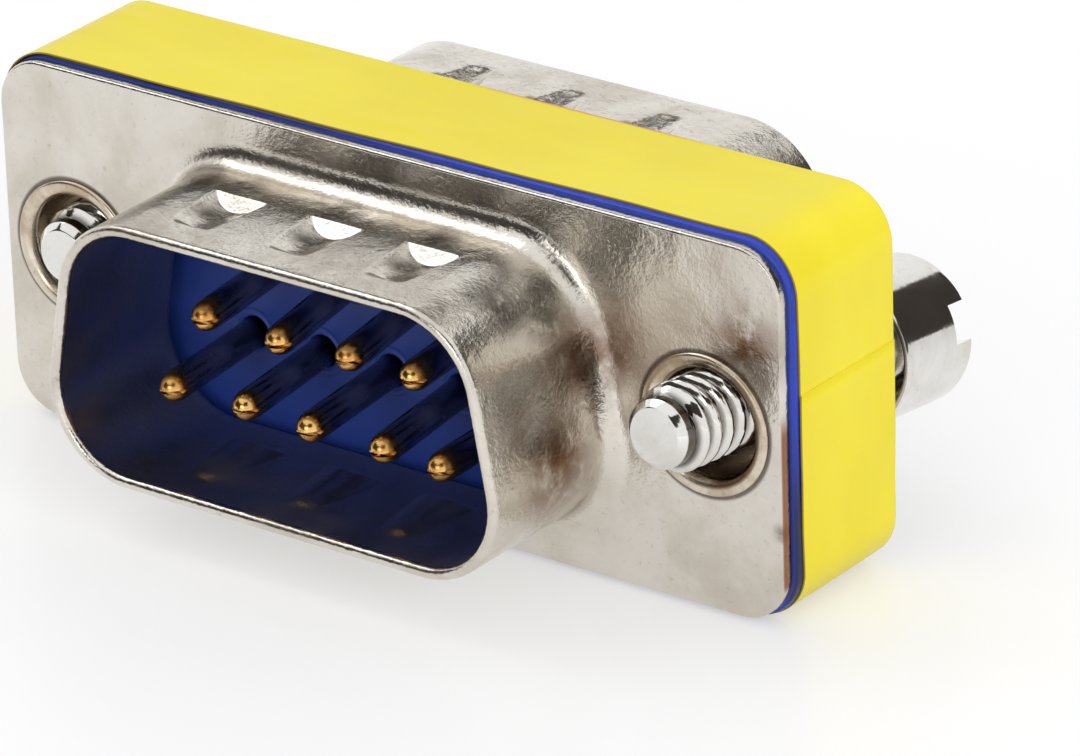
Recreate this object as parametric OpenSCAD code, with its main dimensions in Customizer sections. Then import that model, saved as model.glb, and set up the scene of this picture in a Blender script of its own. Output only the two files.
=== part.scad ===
// Nine-way D-sub adapter, plug to plug, standing on its long edge.
// Sizes in millimetres. The origin is the centre of the front plug, on the front flange face.
// X runs along the flange, Y runs through the adapter to the rear plug, Z is up.

/* [Body] */
// Distance from the front flange face to the rear flange face
body_t = 6; // [4.6:0.1:14]
// Distance from a screw axis to the end of the flange
flange_end = 2.905; // [2.5:0.005:5]
// Height of a flange
flange_h = 12.5; // [11.4:0.1:16]
// Radius of the flange corners
flange_r = 1.7; // [0.5:0.1:3]
// Thickness of the shell metal
sheet_t = 0.4; // [0.25:0.05:0.7]

/* [Plug shells] */
// Distance from an end pin to the inside of a plug, at its wide side
pin_side = 2.92; // [2.6:0.02:4]
// Inside height of a plug
dee_h = 8.36; // [7.6:0.02:9]
// Inside radius of the plug corners
dee_r = 2.6; // [1.2:0.1:3]
// Lean of the plug sides
dee_angle = 10; // [4:0.5:14]
// Height of a plug above its flange
shell_len = 6; // [5:0.1:9]
// Radius at the root of the plug, on the outside
root_r = 0.8; // [0.3:0.05:1]

/* [Grounding dimples] */
// Distance between dimples
dimple_pitch = 3.8; // [2.6:0.1:4.2]
// Width of a dimple at its deep end
dimple_w = 2.1; // [0.8:0.05:2.4]
// Depth of a dimple at its deep end
dimple_depth = 0.45; // [0.2:0.05:0.6]
// Distance from the flange face to the deep end
dimple_start = 2; // [1.6:0.1:2.8]
// Distance from the flange face to the shallow end
dimple_end = 4.7; // [3.4:0.1:4.9]
// Depth of a dimple at its shallow end
dimple_shallow = 0.18; // [0:0.02:0.3]
// Thickness of the metal that bulges inwards behind a dimple
dimple_wall = 0.3; // [0.2:0.05:0.4]

/* [Contacts] */
// Diameter of a pin
pin_d = 1.02; // [0.8:0.02:1.2]
// Distance between pins in a row
pin_pitch = 2.77; // [2.7:0.01:2.84]
// Distance between the two rows
row_gap = 2.84; // [2.6:0.02:3]
// Distance from a flange face to the pin tips
pin_reach = 4.35; // [3:0.05:5.5]
// Width of the slit in a pin tip
slit_w = 0.12; // [0.06:0.02:0.3]
// Depth of the slit in a pin tip
slit_depth = 0.5; // [0.2:0.05:0.9]
// Width of the web that joins the front pin to the rear pin
web_w = 0.7; // [0.4:0.05:0.9]
// Thickness of that web
web_t = 0.3; // [0.2:0.05:0.6]

/* [Insulators] */
// How far the blue plastic stands out beyond the flange edge
block_proud = 0.1; // [0:0.05:0.4]
// Radius of the corners of the blue plastic
block_r = 1.75; // [0.5:0.05:3]
// Clearance round a contact in the plastic
contact_gap = 0.02; // [0.01:0.01:0.08]

/* [Label] */
// Thickness of the label
label_t = 0.1; // [0.05:0.05:0.3]
// Distance from the front flange face to the front edge of the label
label_front = 0.7; // [0.5:0.02:2]
// Distance from the rear edge of the label to the rear flange face
label_back = 0.16; // [0.05:0.01:1]
// Height of the label seam above the centre, on the right side
seam_z = 1.4; // [-3:0.1:4]

/* [Eyelets] */
// Distance from the inside of a plug, at its wide side, to a screw axis
screw_gap = 4.035; // [3.4:0.005:7]
// Inside diameter of an eyelet
eyelet_bore = 3.64; // [3.3:0.02:4]
// Wall thickness of an eyelet
eyelet_wall = 0.28; // [0.2:0.02:0.4]
// Clearance between an eyelet and its hole
eyelet_gap = 0.02; // [0.01:0.01:0.08]
// Outside diameter of the turned-out mouths
flare_d = 4.76; // [4.5:0.02:5.4]
// Height of a mouth above its flange
flare_rise = 0.13; // [0.06:0.01:0.2]
// Radius of the curve from a mouth into the bore
flare_r = 0.37; // [0.24:0.01:0.4]

/* [Jackscrews] */
// Diameter of the stud
stud_d = 2.84; // [2.4:0.02:3]
// Length of the stud
stud_len = 10.15; // [8.8:0.05:16]
// Diameter of the flat at the stud tip
tip_d = 1.8; // [1:0.05:2.2]
// Length of the slope at the stud tip
tip_len = 0.48; // [0.2:0.02:0.9]
// Diameter of the head
head_d = 4.96; // [4.6:0.02:6]
// Length of the head
head_len = 3.65; // [3:0.05:7]
// Chamfer on both edges of the head
head_chamfer = 0.1; // [0.05:0.05:0.5]
// Diameter of the threaded hole in the head
socket_d = 2.26; // [2:0.02:2.8]
// Depth of the threaded hole in the head
socket_len = 3.28; // [2.2:0.02:6]
// Width of the screwdriver slot
slot_w = 1.28; // [0.8:0.02:1.6]
// Depth of the screwdriver slot
slot_depth = 0.88; // [0.5:0.02:1.2]
// Turn of the screwdriver slot of the right screw
slot_turn_right = 20; // [-90:5:90]
// Turn of the screwdriver slot of the left screw
slot_turn_left = -35; // [-90:5:90]
// Smallest gap between the leaning stud and its eyelet
lean_gap = 0.06; // [0.02:0.01:0.1]
// Gap between the seated head and the eyelet
seat_gap = 0.03; // [0.02:0.01:0.1]
// How far the left screw is drawn back from its seat
left_drawn = 3.25; // [0:0.05:6]
// How far the right screw is drawn back from its seat
right_drawn = 0.99; // [0:0.01:4]

/* [Colours] */
// Nickel plating of the shells
nickel = [0.80, 0.79, 0.75];
// Blue plastic of the insulators
blue = [0.07, 0.13, 0.60];
// Gold plating of the contacts
gold = [0.80, 0.60, 0.30];
// Yellow film of the label
yellow = [0.96, 0.87, 0.20];
// Plating of the eyelets
eyelet_plate = [0.78, 0.75, 0.69];
// Bright plating of the jackscrews
chrome = [0.82, 0.82, 0.83];

/* [Hidden] */
// Number of facets round the corners of the plugs
corner_fn = 40;
// Number of facets round the small section curves of the sheet
sheet_fn = 20;
// Number of facets round pins
pin_fn = 16;
// Number of facets round eyelets and screws
screw_fn = 36;

// Widths that follow from the pins outwards: plug, screw axes, flange
dee_w = 4*pin_pitch + 2*pin_side;
screw_x = dee_w/2 + screw_gap;
flange_w = 2*screw_x + 2*flange_end;

// Radii and corner centres of the plug outline. The drawn wall is swept with a strip of flange,
// and its corners turn a little past the straight walls, which are a hair thinner.
root_n = root_r + sheet_t;
plate_lap = sheet_t;
join_turn = 1;
join_in = 0.005;
join_lap = 0.02;
corner_z = dee_h/2 - dee_r;
corner_wide = dee_w/2 - dee_r;
corner_narrow = corner_wide - 2*corner_z*tan(dee_angle);
side_len = 2*corner_z/cos(dee_angle);

// Dimple tool, a round bar that leans into the wall
dimple_r = (dimple_depth*dimple_depth + dimple_w*dimple_w/4)/(2*dimple_depth);
dimple_run = dimple_end - dimple_start;
dimple_lean = atan((dimple_depth - dimple_shallow)/dimple_run);

// Contact rows and insulators
pin_r = pin_d/2;
row_z = row_gap/2;
mid_y = body_t/2;
block_w = flange_w + 2*block_proud;
block_h = flange_h + 2*block_proud;

// Label outline
label_w = block_w + 2*label_t;
label_h = block_h + 2*label_t;
label_len = body_t - label_front - label_back;

// Eyelets and the holes they pass through
eyelet_in = eyelet_bore/2;
eyelet_out = eyelet_in + eyelet_wall;
hole_r = eyelet_out + eyelet_gap;

// Screws. The loose right screw leans until its stud nearly meets both ends of the eyelet.
stud_r = stud_d/2;
lean = atan((eyelet_in - stud_r - lean_gap)/mid_y);
seat_y = body_t + flare_rise + seat_gap;
right_base = (seat_y - mid_y + head_d/2*sin(lean))/cos(lean) + right_drawn;
left_base = seat_y + left_drawn;

// Rectangle with round corners, centred
module round_rect(w, h, r) {
    square([w - 2*r, h], center = true);
    square([w, h - 2*r], center = true);
    for (sx = [-1, 1], sy = [-1, 1])
        translate([sx*(w/2 - r), sy*(h/2 - r)]) circle(r, $fn = corner_fn);
}

// Turn a shape drawn flat so that it stands upright and its height points to the front
module upright() {
    rotate([90, 0, 0]) children();
}

// The same half at the rear: turned about X, so its wide side is up
module at_rear() {
    translate([0, body_t, 0]) rotate([180, 0, 0]) children();
}

// Outline of the plug at a distance n outside its inner wall, wide side down
module dee(n) {
    r = dee_r + n;
    c = cos(dee_angle)*r;
    s = sin(dee_angle)*r;
    polygon([
        [corner_wide, -corner_z - r], [corner_wide + c, -corner_z + s],
        [corner_narrow + c, corner_z + s], [corner_narrow, corner_z + r],
        [-corner_narrow, corner_z + r], [-corner_narrow - c, corner_z + s],
        [-corner_wide - c, -corner_z + s], [-corner_wide, -corner_z - r]
    ]);
    for (side = [-1, 1]) {
        translate([side*corner_wide, -corner_z]) circle(r, $fn = corner_fn);
        translate([side*corner_narrow, corner_z]) circle(r, $fn = corner_fn);
    }
}

// Section of the shell metal, i smaller all round: x is the distance from a corner centre,
// y the height above the flange face
module shell_section(i = 0) {
    rim_h = shell_len - sheet_t/2;
    translate([dee_r + i, root_r]) square([sheet_t - 2*i, rim_h - root_r]);
    translate([dee_r + sheet_t/2, rim_h]) circle(sheet_t/2 - i, $fn = sheet_fn);
    translate([dee_r + root_n - join_lap, i + join_in - sheet_t])
        square([plate_lap, sheet_t - 2*i - 2*join_in]);
    translate([dee_r + root_n, root_r])
        intersection() {
            difference() {
                circle(root_n - i, $fn = 2*sheet_fn);
                circle(root_r + i, $fn = 2*sheet_fn);
            }
            translate([-2*root_n, -2*root_n]) square(2*root_n);
        }
}

// One straight wall from a corner centre, facing the angle a. It is a hair thinner than the
// corners at its ends, which reach over it, so that no two faces only touch.
module wall(x, y, a, len) {
    translate([x, y, 0]) rotate([0, 0, a]) translate([0, len, 0]) rotate([90, 0, 0])
        linear_extrude(len) shell_section(join_in);
}

// One corner, swept from the angle a0 to the angle a1 and a little past both
module corner(x, y, a0, a1) {
    translate([x, y, 0]) rotate([0, 0, a0 - join_turn])
        rotate_extrude(angle = a1 - a0 + 2*join_turn, $fn = corner_fn) shell_section();
}

// The drawn wall of the plug, with its rounded rim and its curved root
module plug_wall() {
    a = dee_angle;
    corner(corner_wide, -corner_z, -90, a);
    wall(corner_wide, -corner_z, a, side_len);
    corner(corner_narrow, corner_z, a, 90);
    wall(corner_narrow, corner_z, 90, 2*corner_narrow);
    corner(-corner_narrow, corner_z, 90, 180 - a);
    wall(-corner_narrow, corner_z, 180 - a, side_len);
    corner(-corner_wide, -corner_z, 180 - a, 270);
    wall(-corner_wide, -corner_z, 270, 2*corner_wide);
}

// Bar that shapes a dimple: its lowest line sinks into the wall towards the flange
module dimple_bar(r, back) {
    translate([0, -dimple_shallow, dimple_end]) rotate([-dimple_lean, 0, 0]) translate([0, dimple_r, 0])
        mirror([0, 0, 1]) cylinder(r = r, h = dimple_run/cos(dimple_lean) + back, $fn = 32);
}

// Six places of the dimples, with y pointing out of the wall
module dimple_places() {
    for (side = [0, 180], k = [-1, 0, 1])
        rotate([0, 0, side]) translate([k*dimple_pitch, dee_h/2 + sheet_t, 0]) children();
}

// Metal that bulges inwards behind a dimple
module dimple_bulge() {
    reach = dimple_w + 2*dimple_wall;
    intersection() {
        dimple_bar(dimple_r + dimple_wall, dimple_wall);
        translate([-reach/2, -dimple_depth - 2*dimple_wall, dimple_start - 2*dimple_wall])
            cube([reach, dimple_depth + 2*dimple_wall - sheet_t/2, dimple_run + 2*dimple_wall]);
    }
}

// Flange plate and plug in one piece of drawn metal
module shell() {
    difference() {
        union() {
            plug_wall();
            dimple_places() dimple_bulge();
            translate([0, 0, -sheet_t]) linear_extrude(sheet_t)
                difference() {
                    round_rect(flange_w, flange_h, flange_r);
                    dee(root_n + join_lap);
                }
        }
        dimple_places() dimple_bar(dimple_r, 0);
        for (side = [-1, 1])
            translate([side*screw_x, 0, -sheet_t - 1])
                cylinder(r = hole_r, h = sheet_t + 2, $fn = screw_fn);
    }
}

module front_shell() {
    color(nickel) upright() shell();
}

module rear_shell() {
    color(nickel) at_rear() upright() shell();
}

// Contact positions: contacts 1 to 5 from the right, then 6 to 9 between them
function pin_x(n) = n <= 5 ? (3 - n)*pin_pitch : (7.5 - n)*pin_pitch;
function pin_front_z(n) = n <= 5 ? -row_z : row_z;

// Plastic block behind one shell, with holes for the pins and pockets for the webs
module insulator() {
    g = contact_gap;
    difference() {
        translate([0, 0, -mid_y]) linear_extrude(mid_y - sheet_t)
            difference() {
                round_rect(block_w, block_h, block_r);
                for (side = [-1, 1])
                    translate([side*screw_x, 0]) circle(hole_r, $fn = screw_fn);
                for (n = [1:9])
                    translate([pin_x(n), pin_front_z(n)]) circle(pin_r + g, $fn = pin_fn);
            }
        for (n = [1:9])
            translate([pin_x(n), 0, -mid_y]) linear_extrude(web_t + 2*g, center = true) {
                square([web_w + 2*g, row_gap], center = true);
                for (side = [-1, 1])
                    translate([0, side*row_z]) circle(pin_r + g, $fn = pin_fn);
            }
    }
}

module front_insulator() {
    color(blue) upright() insulator();
}

module rear_insulator() {
    color(blue) at_rear() upright() insulator();
}

// Wrapped film with an open inside; the lapped end lies on top, below the seam
module wrap_label() {
    lap_x = label_w/2 - block_r - label_t;
    color(yellow) translate([0, label_front + label_len, 0]) upright() linear_extrude(label_len)
        difference() {
            union() {
                round_rect(label_w, label_h, block_r + label_t);
                intersection() {
                    translate([label_t, 0]) round_rect(label_w, label_h, block_r + label_t);
                    translate([lap_x, seam_z - label_h]) square([label_w, label_h]);
                }
            }
            round_rect(block_w, block_h, block_r);
        }
}

// Section of a turned-out mouth: x from the axis, y the height above the flange face
module mouth() {
    lip_x = flare_d/2 - flare_rise;
    turn_x = eyelet_in + flare_r;
    turn_y = flare_rise - flare_r;
    intersection() {
        translate([turn_x, turn_y]) circle(flare_r, $fn = 2*sheet_fn);
        union() {
            translate([eyelet_in, turn_y]) square([eyelet_wall, flare_rise - turn_y]);
            translate([eyelet_in, 0]) square([flare_r, flare_rise]);
        }
    }
    translate([turn_x, 0]) square([lip_x - turn_x, flare_rise]);
    intersection() {
        translate([lip_x, 0]) circle(flare_rise, $fn = 2*sheet_fn);
        translate([lip_x, 0]) square(flare_rise);
    }
}

// Tube with a turned-out mouth at each end
module eyelet() {
    straight = body_t + 2*(flare_rise - flare_r);
    upright() translate([0, 0, -mid_y]) rotate_extrude($fn = screw_fn) {
        translate([eyelet_in, -straight/2]) square([eyelet_wall, straight]);
        translate([0, mid_y]) mouth();
        mirror([0, 1]) translate([0, mid_y]) mouth();
    }
}

module left_eyelet() {
    color(eyelet_plate) translate([-screw_x, 0, 0]) eyelet();
}

module right_eyelet() {
    color(eyelet_plate) translate([screw_x, 0, 0]) eyelet();
}

// Screw along Y with the base of its head at the origin and its stud to the front
module jackscrew(turn) {
    head_r = head_d/2;
    core_h = head_len - 2*head_chamfer;
    stud_h = stud_len - tip_len;
    difference() {
        rotate([-90, 0, 0]) {
            translate([0, 0, -stud_len]) cylinder(r1 = tip_d/2, r2 = stud_r, h = tip_len, $fn = screw_fn);
            translate([0, 0, -stud_h]) cylinder(r = stud_r, h = stud_h + head_chamfer, $fn = screw_fn);
            cylinder(r1 = head_r - head_chamfer, r2 = head_r, h = head_chamfer, $fn = screw_fn);
            translate([0, 0, head_chamfer]) cylinder(r = head_r, h = core_h, $fn = screw_fn);
            translate([0, 0, head_len - head_chamfer])
                cylinder(r1 = head_r, r2 = head_r - head_chamfer, h = head_chamfer, $fn = screw_fn);
        }
        translate([0, head_len + 0.5, 0]) rotate([90, 0, 0])
            cylinder(d = socket_d, h = socket_len + 0.5, $fn = screw_fn);
        rotate([0, -turn, 0]) translate([-head_d, head_len - slot_depth, -slot_w/2])
            cube([2*head_d, slot_depth + 0.5, slot_w]);
    }
}

module left_jackscrew() {
    color(chrome) translate([-screw_x, left_base, 0]) jackscrew(slot_turn_left);
}

module right_jackscrew() {
    color(chrome) translate([screw_x, mid_y, 0]) rotate([-lean, 0, 0])
        translate([0, right_base, 0]) jackscrew(slot_turn_right);
}

// One pin from the middle of the adapter to its slit tip, pointing to the front
module pin() {
    len = mid_y + pin_reach;
    difference() {
        union() {
            cylinder(r = pin_r, h = len - pin_r, $fn = pin_fn);
            translate([0, 0, len - pin_r]) sphere(r = pin_r, $fn = pin_fn);
        }
        translate([-pin_d, -slit_w/2, len - slit_depth]) cube([2*pin_d, slit_w, slit_depth + 0.2]);
    }
}

// Two pins joined by a web; the row changes from front to rear
module contact(n) {
    z = pin_front_z(n);
    color(gold) translate([pin_x(n), mid_y, 0]) {
        translate([0, 0, z]) upright() pin();
        translate([0, 0, -z]) rotate([-90, 0, 0]) pin();
        cube([web_w, web_t, row_gap], center = true);
    }
}

front_shell();
rear_shell();
front_insulator();
rear_insulator();
wrap_label();
left_eyelet();
right_eyelet();
left_jackscrew();
right_jackscrew();
contact(1);  // contact_1
contact(2);  // contact_2
contact(3);  // contact_3
contact(4);  // contact_4
contact(5);  // contact_5
contact(6);  // contact_6
contact(7);  // contact_7
contact(8);  // contact_8
contact(9);  // contact_9
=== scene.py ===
# %% [markdown]
# # A nine-way D-sub adapter
# Two drawn steel plugs stand back to back with blue plastic between them, a yellow film wraps
# the edge, and a slotted jackscrew hangs loose in an eyelet at each side. This notebook dresses
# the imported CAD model: it makes the camera, six finishes, one detailed piece for each CAD part
# (the nine contacts become two rows of pins), and then the studio. The frame is loaded first,
# because every piece is measured against it.

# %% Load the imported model
import math
import bmesh
import bpy
import numpy as np
from mathutils import Matrix, Vector
from mathutils.geometry import delaunay_2d_cdt


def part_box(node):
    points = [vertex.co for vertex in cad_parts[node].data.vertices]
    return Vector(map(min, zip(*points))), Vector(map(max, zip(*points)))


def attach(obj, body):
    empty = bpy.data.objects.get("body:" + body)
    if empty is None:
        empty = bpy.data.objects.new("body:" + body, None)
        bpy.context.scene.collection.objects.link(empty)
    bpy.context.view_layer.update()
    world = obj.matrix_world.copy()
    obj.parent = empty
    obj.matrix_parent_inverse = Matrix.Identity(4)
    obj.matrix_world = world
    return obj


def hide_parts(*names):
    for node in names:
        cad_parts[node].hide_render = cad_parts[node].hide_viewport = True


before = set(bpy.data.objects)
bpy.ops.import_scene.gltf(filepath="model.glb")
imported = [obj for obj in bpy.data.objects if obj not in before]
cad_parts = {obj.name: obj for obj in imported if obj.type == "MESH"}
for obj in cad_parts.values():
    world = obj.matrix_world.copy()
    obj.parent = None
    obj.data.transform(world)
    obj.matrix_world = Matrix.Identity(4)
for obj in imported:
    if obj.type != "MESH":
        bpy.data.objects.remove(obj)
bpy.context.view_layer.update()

scene = bpy.context.scene
scene.view_settings.view_transform = "Standard"
MM = 0.001

# %% [markdown]
# ## Sizes
# Every size is written once, in millimetres, and repeats the part's source where that has it. The
# origin is the centre of the front plug on its flange face, Y runs to the rear plug, Z is up.

# %% Sizes of the real object
BODY_T = 6.0
FLANGE_W, FLANGE_H, FLANGE_R = 30.8, 12.5, 1.7
SHEET = 0.4
DEE_W, DEE_H, DEE_R, DEE_ANGLE = 16.92, 8.36, 2.6, math.radians(10)
SHELL_LEN, ROOT_R = 6.0, 0.8
DIMPLE_PITCH, DIMPLE_W, DIMPLE_WALL = 3.8, 2.1, 0.3
DIMPLE_DEPTH, DIMPLE_SHALLOW = 0.45, 0.18
DIMPLE_START, DIMPLE_END, DIMPLE_RUN = 2.0, 4.7, 0.54
PIN_D, PIN_PITCH, ROW_GAP, PIN_REACH = 1.02, 2.77, 2.84, 4.35
SLIT_W, SLIT_DEPTH = 0.12, 0.5
BLOCK_PROUD, BLOCK_R = 0.1, 1.75
LABEL_T, LABEL_FRONT, LABEL_BACK, SEAM_Z, LAP = 0.1, 0.7, 0.16, 1.4, 0.035
SCREW_X = 24.99 / 2
EYELET_IN, EYELET_WALL = 1.82, 0.28
FLARE_D, FLARE_RISE, FLARE_R = 4.76, 0.13, 0.37
STUD_D, STUD_LEN, TIP_D, TIP_LEN = 2.84, 10.15, 1.8, 0.48
THREAD_PITCH, THREAD_DEPTH, THREAD_LEAD, THREAD_RUN_OUT = 0.635, 0.3, 0.4, 0.5
HEAD_D, HEAD_LEN, HEAD_CHAMFER = 4.96, 3.65, 0.1
SOCKET_D, SOCKET_LEN, SOCKET_THREAD, SOCKET_CHAMFER = 2.26, 3.28, 0.13, 0.14
SLOT_W, SLOT_DEPTH = 1.28, 0.88
LEFT_SLOT_TURN, RIGHT_SLOT_TURN = math.radians(-35), math.radians(20)
LEAN_GAP, SEAT_GAP, LEFT_DRAWN, RIGHT_DRAWN = 0.06, 0.03, 3.25, 0.99
BLOCK_W, BLOCK_H = FLANGE_W + 2 * BLOCK_PROUD, FLANGE_H + 2 * BLOCK_PROUD
ROOT_N = ROOT_R + SHEET
CORNER_Z = DEE_H / 2 - DEE_R
CORNER_WIDE = DEE_W / 2 - DEE_R
CORNER_NARROW = CORNER_WIDE - 2 * CORNER_Z * math.tan(DEE_ANGLE)
MID_Y = BODY_T / 2
HOLE_R = EYELET_IN + EYELET_WALL + 0.02
LEAN = math.atan((EYELET_IN - STUD_D / 2 - LEAN_GAP) / MID_Y)
SEAT_Y = BODY_T + FLARE_RISE + SEAT_GAP
print("right screw leans", round(math.degrees(LEAN), 2), "degrees")

# %% [markdown]
# ## Camera
# The camera was found by fitting known points, such as the flange corners, the plug rim and the
# pins, to the photograph. Set by eye, no outline would quite agree with the picture. The long
# lens gives the nearly parallel edges; the small shift is the photograph's own crop.

# %% Camera at the photograph's viewing angle
AZ, EL, ROLL = 0.653396, 0.424799, -0.0342394
DISTANCE, SENSOR = 249.862, 36.0
FOCAL_PIXELS, PHOTO_PIXELS = 7887.27, 1080


def add_object(name, data):
    """A new object in the scene, at the origin."""
    obj = bpy.data.objects.new(name, data)
    scene.collection.objects.link(obj)
    return obj


back = Vector((math.sin(AZ) * math.cos(EL), -math.cos(AZ) * math.cos(EL), math.sin(EL)))
side = Vector((math.cos(AZ), math.sin(AZ), 0))
up = back.cross(side)
side, up = (math.cos(ROLL) * side + math.sin(ROLL) * up,
            -math.sin(ROLL) * side + math.cos(ROLL) * up)
target = Vector((3.1563, 3.0, -1.1854)) * MM
cam = add_object("camera", bpy.data.cameras.new("camera"))
place = Matrix((side, up, back)).transposed().to_4x4()
place.translation = target + back * DISTANCE * MM
cam.matrix_world = place
cam.data.sensor_width = SENSOR
cam.data.lens = FOCAL_PIXELS / PHOTO_PIXELS * SENSOR
cam.data.shift_x, cam.data.shift_y = 0.01818, -0.01875
cam.data.clip_start, cam.data.clip_end = 0.01, 20
scene.camera = cam
print("camera at", [round(v * 1000, 1) for v in place.translation], "mm")

# %% [markdown]
# ## Mesh helper
# Most pieces are a section carried along an outline. Bevel and solidify could round a rough
# block, but they can't follow a drawn sheet, so `Mesh` gathers vertices and faces in millimetres
# and makes one smooth closed piece at the origin.


# %% Mesh helper
class Mesh:
    """Gathers vertices in millimetres and faces as tuples of vertex numbers."""

    def __init__(self):
        self.v, self.f, self.flat, self.mark = [], [], set(), {}

    def add(self, points):
        first = len(self.v)
        self.v.extend([tuple(map(float, p)) for p in points])
        return list(range(first, len(self.v)))

    def grid(self, rows, wrap_rows=False, wrap_cols=True):
        """Joins rows of vertex numbers with quads."""
        n, m = len(rows), len(rows[0])
        for i in range(n if wrap_rows else n - 1):
            a, b = rows[i], rows[(i + 1) % n]
            for j in range(m if wrap_cols else m - 1):
                k = (j + 1) % m
                self.f.append((a[j], a[k], b[k], b[j]))

    def fan(self, loop, centre):
        """Closes a loop with triangles round a centre point."""
        c = self.add([centre])[0]
        for j in range(len(loop)):
            self.f.append((loop[j], loop[(j + 1) % len(loop)], c))

    def tube(self, x, z, profile, steps=48, closed=False):
        """A round wall along Y through (radius, y) points; returns its loops."""
        loops = [self.add([(px, y, pz) for px, pz in ring(x, z, r, steps)]) for r, y in profile]
        self.grid(loops, wrap_rows=closed)
        return loops

    def fill(self, outer, holes, flip=False):
        """Fills the flat region in X and Z between an outer loop and holes, all convex."""
        index, loop_of_point, edges = [], [], []
        for k, loop in enumerate([outer] + holes):
            at, n = len(index), len(loop)
            edges += [(at + j, at + (j + 1) % n) for j in range(n)]
            index += loop
            loop_of_point += [k] * n
        flat = [Vector((self.v[i][0], self.v[i][2])) for i in index]
        _, _, tris, orig = delaunay_2d_cdt(flat, edges, [], 0, 1e-7)[:4]
        for t in tris:
            corners = [orig[i][0] for i in t]
            # A triangle with all its corners on one hole lies in that hole
            on = {loop_of_point[i] for i in corners}
            if len(on) > 1 or on == {0}:
                ids = [index[i] for i in corners]
                self.flat.add(len(self.f))
                self.f.append(tuple(reversed(ids)) if flip else tuple(ids))

    def make(self, name, material, place=Matrix.Identity(4)):
        """The finished object: its vertices moved to their place, the object at the origin."""
        mesh = bpy.data.meshes.new(name)
        mesh.from_pydata([(place @ Vector(p)) * MM for p in self.v], [], self.f)
        mesh.validate()
        for i, poly in enumerate(mesh.polygons):
            poly.use_smooth = i not in self.flat
        mesh.materials.append(material)
        for key, marks in self.mark.items():
            layer = mesh.attributes.new(key, "FLOAT", "POINT")
            for i, value in marks.items():
                layer.data[i].value = value
        point_outwards(mesh)
        print(name, len(mesh.polygons), "faces")
        return add_object(name, mesh)


# %% Faces that look outwards, and what modifiers make
def point_outwards(mesh):
    """Merges doubles and turns all faces of a closed mesh outwards."""
    bm = bmesh.new()
    bm.from_mesh(mesh)
    bmesh.ops.remove_doubles(bm, verts=bm.verts, dist=1e-9)
    bmesh.ops.recalc_face_normals(bm, faces=bm.faces)
    bm.to_mesh(mesh)
    bm.free()


def apply_modifiers(obj):
    """Gives the object the smooth mesh that its modifiers make, and drops them."""
    bpy.context.view_layer.update()
    graph = bpy.context.evaluated_depsgraph_get()
    done = bpy.data.meshes.new_from_object(obj.evaluated_get(graph))
    obj.modifiers.clear()
    obj.data = done
    for poly in done.polygons:
        poly.use_smooth = True


# %% [markdown]
# ## Outlines
# The plug outline is four arcs joined by straight walls that lean by ten degrees. A Bezier curve
# could draw it, but the points must lie close together where the wall carries dimples. Each
# outline gives points and outward normals, so a section can be set at any distance outside it.


# %% Outlines of the plug and of round-cornered plates
def arc(cx, cz, r, a0, a1, steps):
    a = np.linspace(a0, a1, steps + 1)
    return ([(cx + r * math.cos(t), cz + r * math.sin(t)) for t in a],
            [(math.cos(t), math.sin(t)) for t in a])


def loop_of(corners, gaps):
    """Arcs joined by straight runs; gaps gives how many points go on each straight run."""
    pts, nor = [], []
    for k, corner in enumerate(corners):
        p, n = arc(*corner)
        pts += p
        nor += n
        cx, cz, r, start = corners[(k + 1) % len(corners)][:4]
        q = (cx + r * math.cos(start), cz + r * math.sin(start))
        for j in range(1, gaps[k] + 1):
            f = j / (gaps[k] + 1)
            pts.append((p[-1][0] * (1 - f) + q[0] * f, p[-1][1] * (1 - f) + q[1] * f))
            nor.append(n[-1])
    return np.array(pts), np.array(nor)


def dee(fine):
    """The plug outline at its inner wall, wide side down, starting at the lower right."""
    a, q = DEE_ANGLE, math.pi / 2
    return loop_of([(CORNER_WIDE, -CORNER_Z, DEE_R, -q, a, 16),
                    (CORNER_NARROW, CORNER_Z, DEE_R, a, q, 14),
                    (-CORNER_NARROW, CORNER_Z, DEE_R, q, 2 * q - a, 14),
                    (-CORNER_WIDE, -CORNER_Z, DEE_R, 2 * q - a, 3 * q, 16)],
                   (8, fine, 8, fine))


def plate(w, h, r, steps=12, gap=6):
    """A rectangle with round corners, starting at the lower right."""
    q = math.pi / 2
    x, z = w / 2 - r, h / 2 - r
    return loop_of([(x, -z, r, -q, 0, steps), (x, z, r, 0, q, steps),
                    (-x, z, r, q, 2 * q, steps), (-x, -z, r, 2 * q, 3 * q, steps)],
                   (gap, 4 * gap, gap, 4 * gap))


def ring(cx, cz, r, steps):
    turns = [2 * math.pi * j / steps for j in range(steps)]
    return [(cx + r * math.cos(t), cz + r * math.sin(t)) for t in turns]


def set_out(pts, nor, n, y):
    """The outline moved outwards by n, at depth y, as 3-D points."""
    return [(p[0] + m[0] * n, y, p[1] + m[1] * n) for p, m in zip(pts, nor)]


def section_arc(n, h, r, start, end, count):
    """Points of a bend in a section, with its angles in degrees."""
    return [(n + r * math.cos(t), h + r * math.sin(t))
            for t in np.radians(np.linspace(start, end, count))]


FRONT = Matrix.Identity(4)
# Turns the front half into the rear half: about X, wide side up
REAR = Matrix.Translation((0, BODY_T, 0)) @ Matrix.Rotation(math.pi, 4, "X")
print("plug outline of", len(dee(168)[0]), "points")

# %% [markdown]
# ## Shader helper
# A material could be wired by hand in the editor. The helper keeps each node to a line, so that
# the finishes read like recipes: a base tone, stains laid over it, a roughness and a bump.


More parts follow.
